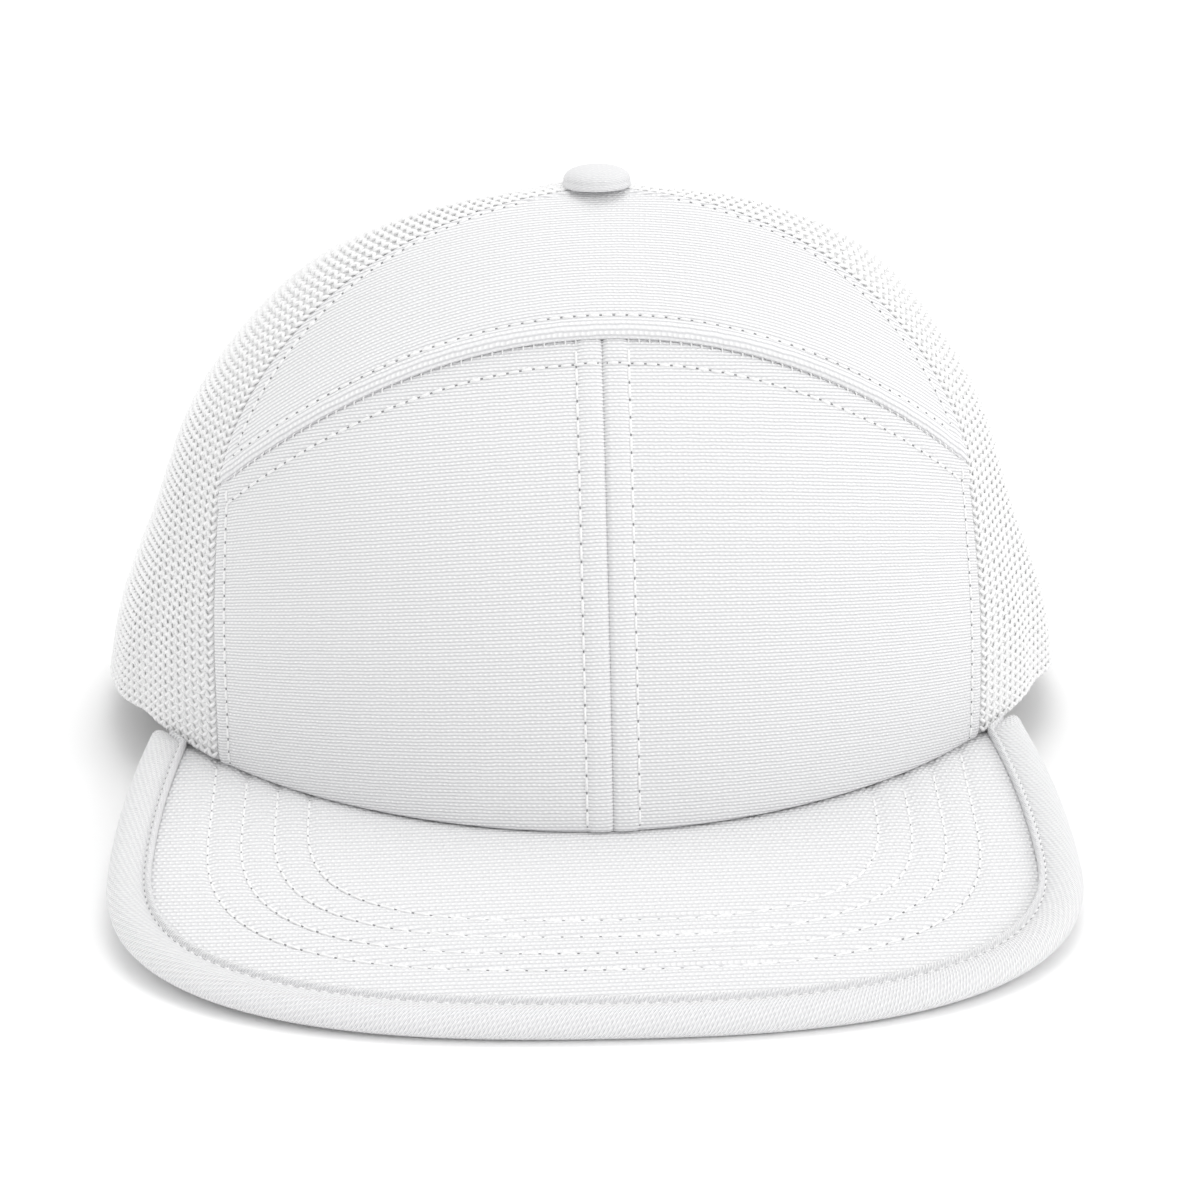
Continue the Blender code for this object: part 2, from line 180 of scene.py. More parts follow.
def peak_outline():
    """The peak's outer edge in plan, from its left tip to its right one."""
    widest = -front_reach - peak_widest_forward
    depth = peak_length - peak_widest_forward
    half = []
    for a in np.linspace(0, math.pi / 2, 181):
        x = peak_half_width * math.sin(a) ** (2 / peak_squareness)
        half.append((x, widest - depth * max(math.cos(a), 0) ** (2 / peak_squareness)))
    for run in np.linspace(0, front_reach + peak_widest_forward, 200)[1:]:
        half.append((peak_half_width - peak_taper * (run / peak_taper_run) ** 2, widest + run))
    half = np.array(half)
    whole = turned(np.concatenate([half[::-1] * (-1, 1), half[1:]]))
    inner = whole[:, 0] - np.sign(whole[:, 0]) * tip_width
    return whole[[outside_rim(x, y) > 0 for x, y in zip(inner, whole[:, 1])]]


def resampled(points, count):
    """The same line with count equal steps."""
    length = np.append(0, np.cumsum(np.linalg.norm(np.diff(points, axis=0), axis=1)))
    at = np.linspace(0, length[-1], count + 1)
    return np.stack([np.interp(at, length, points[:, k]) for k in range(points.shape[1])], axis=1)


peak_line = resampled(peak_outline(), 480)
peak_front = peak_line[:, 1].min()
to_middle = -(back_reach - strap_depth + peak_front) / 2


def peak_middle(y):
    """Height of the middle of the peak's board."""
    return binding_half + math.tan(peak_slope) * (y - peak_front - binding_half)


rim_turn = peak_line[:, 1].max() + rim_easing
rear_flat = back_reach - flat_run


def rim_height(y):
    """The rim follows the peak's plane to its tips, bends down to the floor, and lies flat at the rear."""
    start = peak_middle(y) + peak_board / 2 + piece_gap
    rise = math.tan(peak_slope)
    top = peak_middle(rim_turn) + peak_board / 2 + piece_gap
    fall = top / (rear_flat - rim_turn)
    return start - (rise + fall) * eased(y - rim_turn, rim_easing) + fall * eased(y - rear_flat, rim_easing)


button_seat_height = float(rim_height(-front_reach)) + crown_rise


def crown_point(azimuth, way):
    """The crown's outer surface, at azimuths in radians from the front and at shares of the way up."""
    azimuth, way = np.broadcast_arrays(np.asarray(azimuth, float), np.asarray(way, float))
    sine, cosine = np.sin(azimuth), np.cos(azimuth)
    square = np.where(cosine > 0, front_squareness(way), back_squareness)
    x = crown_half_width * side_reach(way) * np.sign(sine) * np.abs(sine) ** (2 / square)
    x = x + crown_lean * side_rise(way) ** 4
    reach = np.where(cosine > 0, front_reach * front_share(way), back_reach * back_share(way))
    middle = -button_forward * side_rise(way)
    y = middle - np.sign(cosine) * reach * np.abs(cosine) ** (2 / square)
    tilt = (front_rise(way) - back_rise(way)) / 2
    crest = (front_rise(way) + back_rise(way)) / 2 - side_rise(way)
    rise = side_rise(way) + tilt * cosine + crest * cosine**2
    base = rim_height(rim_plan(azimuth)[1])
    return np.stack([x, y + to_middle, base + (button_seat_height - base) * rise], axis=-1)


def crown_normal(azimuth, way):
    """The outward normal, from a small step along each direction of the surface."""
    turn, climb = 0.01, 0.004
    along = crown_point(azimuth + turn, way) - crown_point(azimuth - turn, way)
    up = crown_point(azimuth, way + climb) - crown_point(azimuth, way - climb)
    normal = np.cross(along, up)
    return normal / np.linalg.norm(normal, axis=-1, keepdims=True)


def crown_up(azimuth, way):
    """The direction up the crown's surface."""
    up = crown_point(azimuth, way + 0.004) - crown_point(azimuth, way - 0.004)
    return up / np.linalg.norm(up, axis=-1, keepdims=True)


def linear(colour):
    """Linear colour from an sRGB hex value."""
    parts = [int(colour[i : i + 2], 16) / 255 for i in (1, 3, 5)]
    return tuple(p / 12.92 if p <= 0.04045 else ((p + 0.055) / 1.055) ** 2.4 for p in parts) + (1,)


def node(tree, kind, inputs=None, output=None, **settings):
    """Adds a node with its settings. An input is a value, or the socket that feeds it. The node comes back, or the
    output that is asked for."""
    made = tree.nodes.new(kind)
    for key, value in settings.items():
        setattr(made, key, value)
    for key, value in (inputs or {}).items():
        if isinstance(value, bpy.types.NodeSocket):
            tree.links.new(value, made.inputs[key])
        else:
            made.inputs[key].default_value = value
    return made if output is None else made.outputs[output]


def new_material(name, roughness, sheen=0.0):
    made = bpy.data.materials.new(name)
    made.use_nodes = True
    tree = made.node_tree
    shader = tree.nodes["Principled BSDF"]
    shader.inputs["Roughness"].default_value = roughness
    shader.inputs["Sheen Weight"].default_value = sheen
    shader.inputs["Sheen Roughness"].default_value = 0.5
    return made, tree, shader


def wave(tree, value, period):
    """0 to 1 and back over each period, 1 at zero."""
    angle = node(tree, "ShaderNodeMath", {0: value, 1: 2 * math.pi / period}, 0, operation="MULTIPLY")
    cosine = node(tree, "ShaderNodeMath", {0: angle}, 0, operation="COSINE")
    return node(tree, "ShaderNodeMath", {0: cosine, 1: 0.5, 2: 0.5}, 0, operation="MULTIPLY_ADD")


def pique(
    name="pique_knit", across=1.08, between=1.36, ground="#e9e9ea", line="#d0d0d2", raised="#fdfdfd", depth=0.14,
    second_row=0.45,
):
    """Polyester pique knit over foam: small raised white dashes, 1.1 mm apart in rows 0.7 mm apart, every second
    row shifted by half a dash and a thin sunken line between the rows. It gives the fine dotted face of the front,
    the top panel and the button, and with rows 1.3 mm apart that of the peak."""
    made, tree, shader = new_material(name, 0.85, 0.15)
    cloth = node(tree, "ShaderNodeUVMap", output=0)
    place = node(tree, "ShaderNodeSeparateXYZ", {0: cloth}).outputs
    waver = node(tree, "ShaderNodeTexNoise", {"Vector": cloth, "Scale": 0.35, "Detail": 2.0}, 0)
    shift = node(tree, "ShaderNodeMath", {0: waver, 1: 0.5, 2: -0.25}, 0, operation="MULTIPLY_ADD")
    u = node(tree, "ShaderNodeMath", {0: place[0], 1: shift}, 0, operation="ADD")
    v = node(tree, "ShaderNodeMath", {0: shift, 1: 0.6, 2: place[1]}, 0, operation="MULTIPLY_ADD")
    column, row = wave(tree, u, across), wave(tree, v, between)
    other_column = node(tree, "ShaderNodeMath", {0: 1.0, 1: column}, 0, operation="SUBTRACT")
    other_row = node(tree, "ShaderNodeMath", {0: 1.0, 1: row}, 0, operation="SUBTRACT")
    dashes = []
    for long_way, short_way in ((column, row), (other_column, other_row)):
        length = node(tree, "ShaderNodeMath", {0: long_way, 1: 1.2}, 0, operation="POWER")
        width = node(tree, "ShaderNodeMath", {0: short_way, 1: 1.6}, 0, operation="POWER")
        dashes.append(node(tree, "ShaderNodeMath", {0: length, 1: width}, 0, operation="MULTIPLY"))
    both = {0: dashes[1], 1: second_row, 2: dashes[0]}
    dash = node(tree, "ShaderNodeMath", both, 0, operation="MULTIPLY_ADD")
    low = node(tree, "ShaderNodeMath", {0: 1.0, 1: wave(tree, v, between / 2)}, 0, operation="SUBTRACT")
    sunk = node(tree, "ShaderNodeMath", {0: low, 1: 3.0}, 0, operation="POWER")
    height = node(tree, "ShaderNodeMath", {0: sunk, 1: -0.6, 2: dash}, 0, operation="MULTIPLY_ADD")
    body = node(tree, "ShaderNodeTexCoord", output="Object")
    fibre = node(tree, "ShaderNodeTexNoise", {"Vector": body, "Scale": 2600.0}, 0)
    height = node(tree, "ShaderNodeMath", {0: fibre, 1: 0.25, 2: height}, 0, operation="MULTIPLY_ADD")
    # Painted shade: the low ground between the raised dashes and the sunken lines between the rows are coloured darker
    # than the dashes.
    base = node(tree, "ShaderNodeMix", {0: dash, 6: linear(ground), 7: linear(raised)}, 2, data_type="RGBA")
    face = node(tree, "ShaderNodeMix", {0: sunk, 6: base, 7: linear(line)}, 2, data_type="RGBA")
    bump = node(tree, "ShaderNodeBump", {"Strength": 1.0, "Distance": depth * mm, "Height": height}, 0)
    tree.links.new(bump, shader.inputs["Normal"])
    tree.links.new(face, shader.inputs["Base Color"])
    return made


def binding_knit():
    """Fine interlock knit cut on the bias and padded: thin slanting ribs, drawn 0.7 mm apart so that they show, and
    soft courses across them. It gives the peak's binding its smooth slanting grain."""
    made, tree, shader = new_material("bias_interlock", 0.9, 0.15)
    place = node(tree, "ShaderNodeSeparateXYZ", {0: node(tree, "ShaderNodeUVMap", output=0)}).outputs
    slant = node(tree, "ShaderNodeMath", {0: place[1], 1: 0.55, 2: place[0]}, 0, operation="MULTIPLY_ADD")
    lean = node(tree, "ShaderNodeMath", {0: place[0], 1: 0.3, 2: place[1]}, 0, operation="MULTIPLY_ADD")
    rib, course = wave(tree, slant, 0.7), wave(tree, lean, 1.05)
    body = node(tree, "ShaderNodeTexCoord", output="Object")
    fibre = node(tree, "ShaderNodeTexNoise", {"Vector": body, "Scale": 1500.0}, 0)
    height = node(tree, "ShaderNodeMath", {0: course, 1: 0.5, 2: rib}, 0, operation="MULTIPLY_ADD")
    height = node(tree, "ShaderNodeMath", {0: fibre, 1: 0.7, 2: height}, 0, operation="MULTIPLY_ADD")
    # Painted shade: the knit is coloured darker where its ribs and courses sink and lighter on their crests.
    low = node(tree, "ShaderNodeMath", {0: course, 1: 0.3}, 0, operation="MULTIPLY")
    tone = node(tree, "ShaderNodeMath", {0: rib, 1: 0.6, 2: low}, 0, operation="MULTIPLY_ADD")
    shades = {0: tone, 6: linear("#e1e1e3"), 7: linear("#fcfcfc")}
    bump = node(tree, "ShaderNodeBump", {"Strength": 1.0, "Distance": 0.20 * mm, "Height": height}, 0)
    tree.links.new(bump, shader.inputs["Normal"])
    tree.links.new(node(tree, "ShaderNodeMix", shades, 2, data_type="RGBA"), shader.inputs["Base Color"])
    return made


def yarn(name, light, dark, grain=900.0):
    """Spun polyester yarn: matt, with fine fibres along it. It gives the mesh loops and the sewing thread."""
    made, tree, shader = new_material(name, 0.9, 0.2)
    body = node(tree, "ShaderNodeTexCoord", output="Object")
    fibre = node(tree, "ShaderNodeTexNoise", {"Vector": body, "Scale": grain, "Detail": 3.0}, 0)
    shades = {0: fibre, 6: linear(dark), 7: linear(light)}
    bump = node(tree, "ShaderNodeBump", {"Strength": 0.6, "Distance": 0.12 * mm, "Height": fibre}, 0)
    tree.links.new(bump, shader.inputs["Normal"])
    tree.links.new(node(tree, "ShaderNodeMix", shades, 2, data_type="RGBA"), shader.inputs["Base Color"])
    return made


def twill():
    """Woven cotton twill: fine diagonal ribs 0.8 mm apart. It gives the sweatband its soft woven face."""
    made, tree, shader = new_material("cotton_twill", 0.95, 0.1)
    place = node(tree, "ShaderNodeSeparateXYZ", {0: node(tree, "ShaderNodeUVMap", output=0)}).outputs
    diagonal = node(tree, "ShaderNodeMath", {0: place[0], 1: place[1]}, 0, operation="ADD")
    rib = wave(tree, diagonal, 0.8)
    # Painted shade: the twill is coloured darker in the troughs between its ribs.
    shades = {0: rib, 6: linear("#d2d2d0"), 7: linear("#e8e8e6")}
    bump = node(tree, "ShaderNodeBump", {"Strength": 0.8, "Distance": 0.12 * mm, "Height": rib}, 0)
    tree.links.new(bump, shader.inputs["Normal"])
    tree.links.new(node(tree, "ShaderNodeMix", shades, 2, data_type="RGBA"), shader.inputs["Base Color"])
    return made


def moulded_plastic():
    """Moulded polyethylene: smooth, a little waxy, with the faint grain of its mould. It gives the rear strap."""
    made, tree, shader = new_material("moulded_polyethylene", 0.42)
    body = node(tree, "ShaderNodeTexCoord", output="Object")
    grain = node(tree, "ShaderNodeTexNoise", {"Vector": body, "Scale": 1800.0, "Detail": 2.0}, 0)
    shades = {0: grain, 6: linear("#e2e2e0"), 7: linear("#ededeb")}
    bump = node(tree, "ShaderNodeBump", {"Strength": 0.25, "Distance": 0.05 * mm, "Height": grain}, 0)
    tree.links.new(bump, shader.inputs["Normal"])
    tree.links.new(node(tree, "ShaderNodeMix", shades, 2, data_type="RGBA"), shader.inputs["Base Color"])
    return made


def studio_paper():
    """Matt background paper, almost even. It gives the floor."""
    made, tree, shader = new_material("studio_paper", 1.0)
    body = node(tree, "ShaderNodeTexCoord", output="Object")
    grain = node(tree, "ShaderNodeTexNoise", {"Vector": body, "Scale": 3.0}, 0)
    shades = {0: grain, 6: linear("#fefefe"), 7: linear("#ffffff")}
    tree.links.new(node(tree, "ShaderNodeMix", shades, 2, data_type="RGBA"), shader.inputs["Base Color"])
    shader.inputs["Specular IOR Level"].default_value = 0.0
    return made


def face_outwards(mesh):
    """Turns a closed mesh whose faces point inwards the right way round."""
    mesh.calc_loop_triangles()
    corners = np.empty(len(mesh.loop_triangles) * 3, int)
    mesh.loop_triangles.foreach_get("vertices", corners)
    points = np.empty(len(mesh.vertices) * 3)
    mesh.vertices.foreach_get("co", points)
    a, b, c = (points.reshape(-1, 3)[corners.reshape(-1, 3)[:, k]] for k in range(3))
    if np.einsum("ij,ij->", a, np.cross(b, c)) < 0:
        mesh.flip_normals()


def add_piece(name, points, faces, finish, replaces, uv=None, edges=()):
    """A piece in the scene, with its place in its mesh, riding with the cap."""
    mesh = bpy.data.meshes.new(name)
    mesh.from_pydata(np.asarray(points).reshape(-1, 3).tolist(), edges, faces)
    if uv is not None:
        layer = mesh.uv_layers.new(name="UVMap")
        corners = np.empty(len(mesh.loops), int)
        mesh.loops.foreach_get("vertex_index", corners)
        layer.data.foreach_set("uv", np.asarray(uv, float).reshape(-1, 2)[corners].ravel())
    made = bpy.data.objects.new(name, mesh)
    bpy.context.scene.collection.objects.link(made)
    if faces:
        face_outwards(mesh)
        mesh.shade_smooth()
        mesh.materials.append(finish)
        settle(made, replaces)
    return made


def settle(piece, replaces):
    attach(piece, "root")
    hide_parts(replaces)


def wall_faces(rows, columns):
    """Faces of a closed wall between two grids of points, the second after the first."""
    index = np.arange(rows * columns).reshape(rows, columns)
    grid = np.stack([index[:-1, :-1], index[:-1, 1:], index[1:, 1:], index[1:, :-1]], axis=-1).reshape(-1, 4)
    back = grid[:, ::-1] + rows * columns
    around = np.concatenate([index[0], index[1:, -1], index[-1, -2::-1], index[-2:0:-1, 0]])
    following = np.roll(around, -1)
    sides = np.stack([around, around + rows * columns, following + rows * columns, following], axis=-1)
    return np.concatenate([grid, back, sides]).tolist()


def tube_faces(rings, count):
    """Faces round a tube of rings, then the corners of its first and of its last ring."""
    index = np.arange(rings * count).reshape(rings, count)
    following = np.roll(index, -1, axis=1)
    sides = np.stack([index[:-1], following[:-1], following[1:], index[1:]], axis=-1).reshape(-1, 4)
    return sides.tolist(), index[0].tolist(), index[-1].tolist()


def add_wall(name, outer, inner, uv, finish, replaces):
    rows, columns = outer.shape[:2]
    points = np.concatenate([outer.reshape(-1, 3), inner.reshape(-1, 3)])
    both = np.concatenate([uv.reshape(-1, 2)] * 2)
    return add_piece(name, points, wall_faces(rows, columns), finish, replaces, uv=both)


def run_along(points, axis):
    """Distance along each line of a grid of points."""
    steps = np.linalg.norm(np.diff(points, axis=axis), axis=-1)
    start = np.zeros_like(np.take(steps, [0], axis=axis))
    return np.concatenate([start, np.cumsum(steps, axis=axis)], axis=axis)


def stations(length, coarse, fine, bands):
    """Shares from 0 to 1 along a length, with small steps inside the bands and large ones between."""
    at = np.linspace(0, length, 4000)
    step = np.full(len(at), coarse)
    for start, end in bands:
        step[(at >= start) & (at <= end)] = fine
    count = np.append(0, np.cumsum(np.diff(at) / step[:-1]))
    return np.interp(np.linspace(0, count[-1], int(round(count[-1])) + 1), count, at) / length


def seam_relief(distance, allowance, puff, tuck, groove):
    """Cloth beside a seam: it rolls down into the seam, stands proud over its turned-in edge, and dips at the
    row of stitches."""
    proud = puff / (1 + np.exp((distance - allowance - 0.4 * mm) / (0.4 * mm)))
    roll = tuck * np.exp(-distance / (0.45 * mm))
    dip = groove * np.exp(-(((distance - allowance) / (0.75 * mm)) ** 2))
    return proud - roll - dip


def unevenness(x, z, amount):
    """Slow soft waves, as foam-backed cloth has."""
    waves = np.sin(x / 0.019 + 1.3) * np.sin(z / 0.023 + 0.4) + 0.6 * np.sin(x / 0.011 - z / 0.014 + 2.1)
    return amount * waves / 1.6


corner_way = arc_peak_share - arc_fall_share
corner_azimuth = float(seam_azimuth(corner_way))


def arc_way(azimuth_degrees):
    """The arc seam over the brow."""
    return arc_peak_share - arc_fall_share * (azimuth_degrees / corner_azimuth) ** 2


stitch_lines = []  # visible thread of every row of stitches
needle_shade_lines = []  # painted shade: short dark grey threads where the needle went in, for the shade inside its holes
seam_bars = []  # thread that bridges the arc seam
thread_shares = np.array([0.0, 0.12, 0.5, 0.88, 1.0])  # points along one stitch
thread_lifts = np.array([-2.2, 0.4, 1.0, 0.4, -2.2])  # their heights, as shares of the thread's rise
thread_sideways = np.array([-1.0, -0.76, 0.0, 0.76, 1.0])  # where a slanting stitch lies beside its line
needle_reach = np.array([-0.22, 0.22]) * mm
bar_margin, bar_spacing = 6 * mm, 2 * mm
bar_bends = ((0.1, -0.3), (0.6, 0.3), (0.3, 0.9))  # rise off the cloth and drop along it, in mm
stitch_gap = 0.5 * mm
front_allowance = 5.0 * mm
side_allowance = 3.4 * mm
top_allowance = 4.2 * mm
top_side_allowance = 4.8 * mm


def on_grid(points, normals, row, column):
    """Point and normal at fractional places of a grid."""
    i = np.clip(np.floor(row).astype(int), 0, points.shape[0] - 2)
    j = np.clip(np.floor(column).astype(int), 0, points.shape[1] - 2)
    f, g = (row - i)[:, None], (column - j)[:, None]

    def blend(grid):
        low = grid[i, j] * (1 - g) + grid[i, j + 1] * g
        high = grid[i + 1, j] * (1 - g) + grid[i + 1, j + 1] * g
        return low * (1 - f) + high * f

    return blend(points), blend(normals)


def along_line(grid, run, distance):
    """The values at distances along a line."""
    return np.stack([np.interp(distance, run, grid[:, c]) for c in range(3)], axis=-1)


def sew(points, normals, length, gap=stitch_gap, raise_by=0.12 * mm, slant=0.0):
    """Adds stitches along a line on the cloth, each a thread that dives in at both ends. They may slant."""
    run = run_along(points, 0)
    for k in range(int(run[-1] / (length + gap))):
        start = k * (length + gap) + gap / 2
        at = start + length * thread_shares
        place, out = along_line(points, run, at), along_line(normals, run, at)
        beside = np.cross(place[-1] - place[0], out[2])
        beside *= slant / np.linalg.norm(beside)
        lift = out * raise_by * thread_lifts[:, None]
        stitch_lines.append(place + lift + beside * thread_sideways[:, None])
        # Painted shade: a short dark thread at the needle hole between stitches, for the shade inside it.
        at = start - gap / 2 + needle_reach
        needle_shade_lines.append(along_line(points, run, at) + along_line(normals, run, at) * 0.02 * mm)


def line_at(distance_grid, wanted, points, normals, axis):
    """The line on a grid at a wanted distance, crossing every row (axis 1) or every column (axis 0)."""
    rows, columns = distance_grid.shape
    if axis == 1:
        at = np.array([np.interp(wanted, distance_grid[i], np.arange(columns)) for i in range(rows)])
        return on_grid(points, normals, np.arange(rows, dtype=float), at)
    at = np.array([np.interp(wanted, distance_grid[:, j], np.arange(rows)) for j in range(columns)])
    return on_grid(points, normals, at, np.arange(columns, dtype=float))


def front_panel(name, side, finish):
    """A tall front panel, with its turned-in seams and their rows of stitches."""
    across = stations(0.100, 1.1 * mm, 0.4 * mm, [(0, 1.6 * mm), (4.2 * mm, 5.8 * mm), (0.095, 0.1)])
    up = stations(0.086, 1.1 * mm, 0.45 * mm, [(0, 1.5 * mm), (0.0800, 0.0825), (0.0845, 0.086)])
    s, t = np.meshgrid(across, up)
    azimuth = np.radians(side * s * seam_azimuth(t * corner_way))
    way = t * arc_way(s * corner_azimuth)
    surface, normal = crown_point(azimuth, way), crown_normal(azimuth, way)
    u, v = run_along(surface, 1), run_along(surface, 0)
    from_side, from_arc = u[:, -1:] - u, v[-1:] - v
    lift = seam_relief(u, front_allowance, 0.45 * mm, 0.9 * mm, 0.42 * mm)
    lift += seam_relief(from_side, side_allowance, 0.35 * mm, 0.9 * mm, 0.32 * mm)
    lift += seam_relief(from_arc, front_allowance, 0.35 * mm, 0.6 * mm, 0.38 * mm)
    lift -= 0.5 * mm * np.exp(-v / (1.0 * mm))
    lift += unevenness(surface[..., 0], surface[..., 2], 0.22 * mm)
    outer = surface + normal * lift[..., None]
    inner = surface - normal * front_wall
    inner[0, :, 2] = surface[0, :, 2]
    uv = np.stack([side * u, v + (1.4 + 20 * v) * u**2], axis=-1) / mm
    add_wall(name + "_cloth", outer, inner, uv, finish, name)
    points, out = line_at(u, front_allowance, outer, normal, 1)
    sew(points[2:-3], out[2:-3], 2.9 * mm, raise_by=0.16 * mm)
    points, out = line_at(-from_side, -side_allowance, outer, normal, 1)
    sew(points[2:-3], out[2:-3], 2.1 * mm)
    points, out = line_at(-from_arc, -front_allowance, outer, normal, 0)
    sew(points[2:-6], out[2:-6], 2.0 * mm)


def top_panel(name, finish):
    """The crescent over the brow: a padded roll over the arc seam, with a row of stitches above it."""
    half = stations(0.090, 1.15 * mm, 0.45 * mm, [(0.086, 0.09)])
    across = np.concatenate([-half[:0:-1], half])
    up = stations(0.060, 1.15 * mm, 0.28 * mm, [(0, 2.6 * mm), (3.4 * mm, 5.0 * mm)])
    s, t = np.meshgrid(across, up)
    way = arc_way(np.abs(s) * corner_azimuth) * (1 - t) + crown_end_share * t
    azimuth = np.radians(s * seam_azimuth(corner_way * (1 - t) + crown_end_share * t))
    surface, normal = crown_point(azimuth, way), crown_normal(azimuth, way)
    climb = crown_up(azimuth, way)
    u, v = run_along(surface, 1), run_along(surface, 0)
    from_side = np.minimum(u, u[:, -1:] - u)
    fullness = 0.30 + 0.70 * np.cos(math.pi / 2 * s) ** 0.8
    steps = np.array([0.0, 0.35, 0.8, 1.4, 2.2, 3.2, 4.2, 6.0, 9.0, 14.0, 20.0, 60.0]) * mm
    proud = np.array([-0.5, 0.25, 1.05, 1.7, 2.0, 1.95, 1.6, 1.35, 0.8, 0.25, 0.0, 0.0]) * mm
    hang = np.array([0.0, 0.55, 0.95, 0.85, 0.35, 0.0, 0.0, 0.0, 0.0, 0.0, 0.0, 0.0]) * mm
    lift = np.interp(v, steps, proud) * fullness
    lift -= 0.25 * mm * np.exp(-(((v - top_allowance) / (0.8 * mm)) ** 2))
    lift += seam_relief(from_side, top_side_allowance, 0.25 * mm, 0.9 * mm, 0.25 * mm)
    lift += unevenness(surface[..., 0], surface[..., 2], 0.15 * mm)
    outer = surface + normal * lift[..., None] - climb * (np.interp(v, steps, hang) * fullness)[..., None]
    inner = surface - normal * front_wall
    climb_here = np.interp(t, up, v[:, len(half) - 1])
    uv = np.stack([u - u[:, -1:] / 2, climb_here], axis=-1) / mm
    add_wall(name + "_cloth", outer, inner, uv, finish, name)
    points, out = line_at(v, top_allowance, outer, normal, 0)
    sew(points[8:-8], out[8:-8], 2.0 * mm)
    for sign in (1, -1):
        distance = u if sign > 0 else u - u[:, -1:]
        points, out = line_at(distance, sign * top_side_allowance, outer, normal, 1)
        sew(points[10:-12], out[10:-12], 1.9 * mm, raise_by=0.05 * mm)
    ladder(outer, normal, v)


def ladder(outer, normal, v):
    """The arc seam's own thread: small bars that bridge its dark line."""
    points, out = line_at(v, 0.15 * mm, outer, normal, 0)
    run = run_along(points, 0)
    for at in np.arange(bar_margin, run[-1] - bar_margin, bar_spacing):
        place, face = along_line(points, run, at), along_line(out, run, at)
        down = face * face[2] - (0, 0, 1)
        down /= np.linalg.norm(down)
        seam_bars.append(np.array([place + (face * rise + down * drop) * mm for rise, drop in bar_bends]))


def arch_edge_azimuth():
    return 180 - math.degrees(math.asin((arch_half_width / crown_half_width) ** (back_squareness / 2)))


def way_at_height(height, azimuth):
    """How far up the crown's curve a height above the rim lies."""
    ways = np.linspace(0, 0.9, 181)
    points = crown_point(azimuth, ways)
    return float(np.interp(height, points[:, 2] - points[0, 2], ways))


arch_way = way_at_height(arch_height, math.pi)


def side_limits(way):
    """Azimuths in degrees of the seams on either side of the side mesh."""
    return seam_azimuth(way), np.full_like(way, back_seam_azimuth)


def back_limits(way):
    """Azimuths in degrees of the back seam and of the middle, or of the rear arch below its top."""
    start = arch_edge_azimuth()
    edge = 180 - (180 - start) * np.sqrt(np.clip(1 - (way / arch_way) ** 2, 0, 1))
    return np.full_like(way, back_seam_azimuth), edge


loop_width = 1.3 * mm
loop_height = 1.75 * mm
loop_parts = 6  # steps of the table of places in one loop's height
loop_radius = 0.46 * mm
loop_lowest = 0.45 * mm  # keeps the lowest loops above the floor
column_reach = 0.175  # how far up its column the table of places goes
shortest_column = 8  # in ways; a column with fewer is left out


def knit_base(name, side, limits, finish):
    """The mesh panel's ground, under its loops."""
    turns = np.linspace(0, math.pi / 2, 22)
    ways = np.append(arch_way * np.sin(turns), np.linspace(arch_way, crown_end_share, 46)[1:])
    low, high = limits(ways)
    across = stations(0.1, 2.0 * mm, 0.6 * mm, [(0, 2 * mm), (0.098, 0.1)])
    azimuth = np.radians(side * (low[:, None] * (1 - across) + high[:, None] * across))
    way = np.broadcast_to(ways[:, None], azimuth.shape)
    surface, normal = crown_point(azimuth, way), crown_normal(azimuth, way)
    u, v = run_along(surface, 1), run_along(surface, 0)
    edge = np.minimum(u, u[:, -1:] - u)
    lift = -0.30 * mm - 0.7 * mm * np.exp(-edge / (0.7 * mm)) + valley(azimuth, way)
    outer = surface + normal * lift[..., None]
    inner = surface - normal * mesh_wall
    inner[0, :, 2] = outer[0, :, 2] = surface[0, :, 2]
    uv = np.stack([u, v], axis=-1) / mm
    add_wall(name + "_ground", outer, inner, uv, finish, name)


def valley(azimuth, way):
    """The soft upright fold on the side mesh beside the temple, on both sides."""
    beside = (np.abs(np.degrees(azimuth)) - 68) / 3.5
    fold = np.exp(-(beside**2)) - 0.6 * np.exp(-((beside - 2.2) ** 2))
    return -0.7 * mm * fold * np.exp(-((way / 0.34) ** 4))


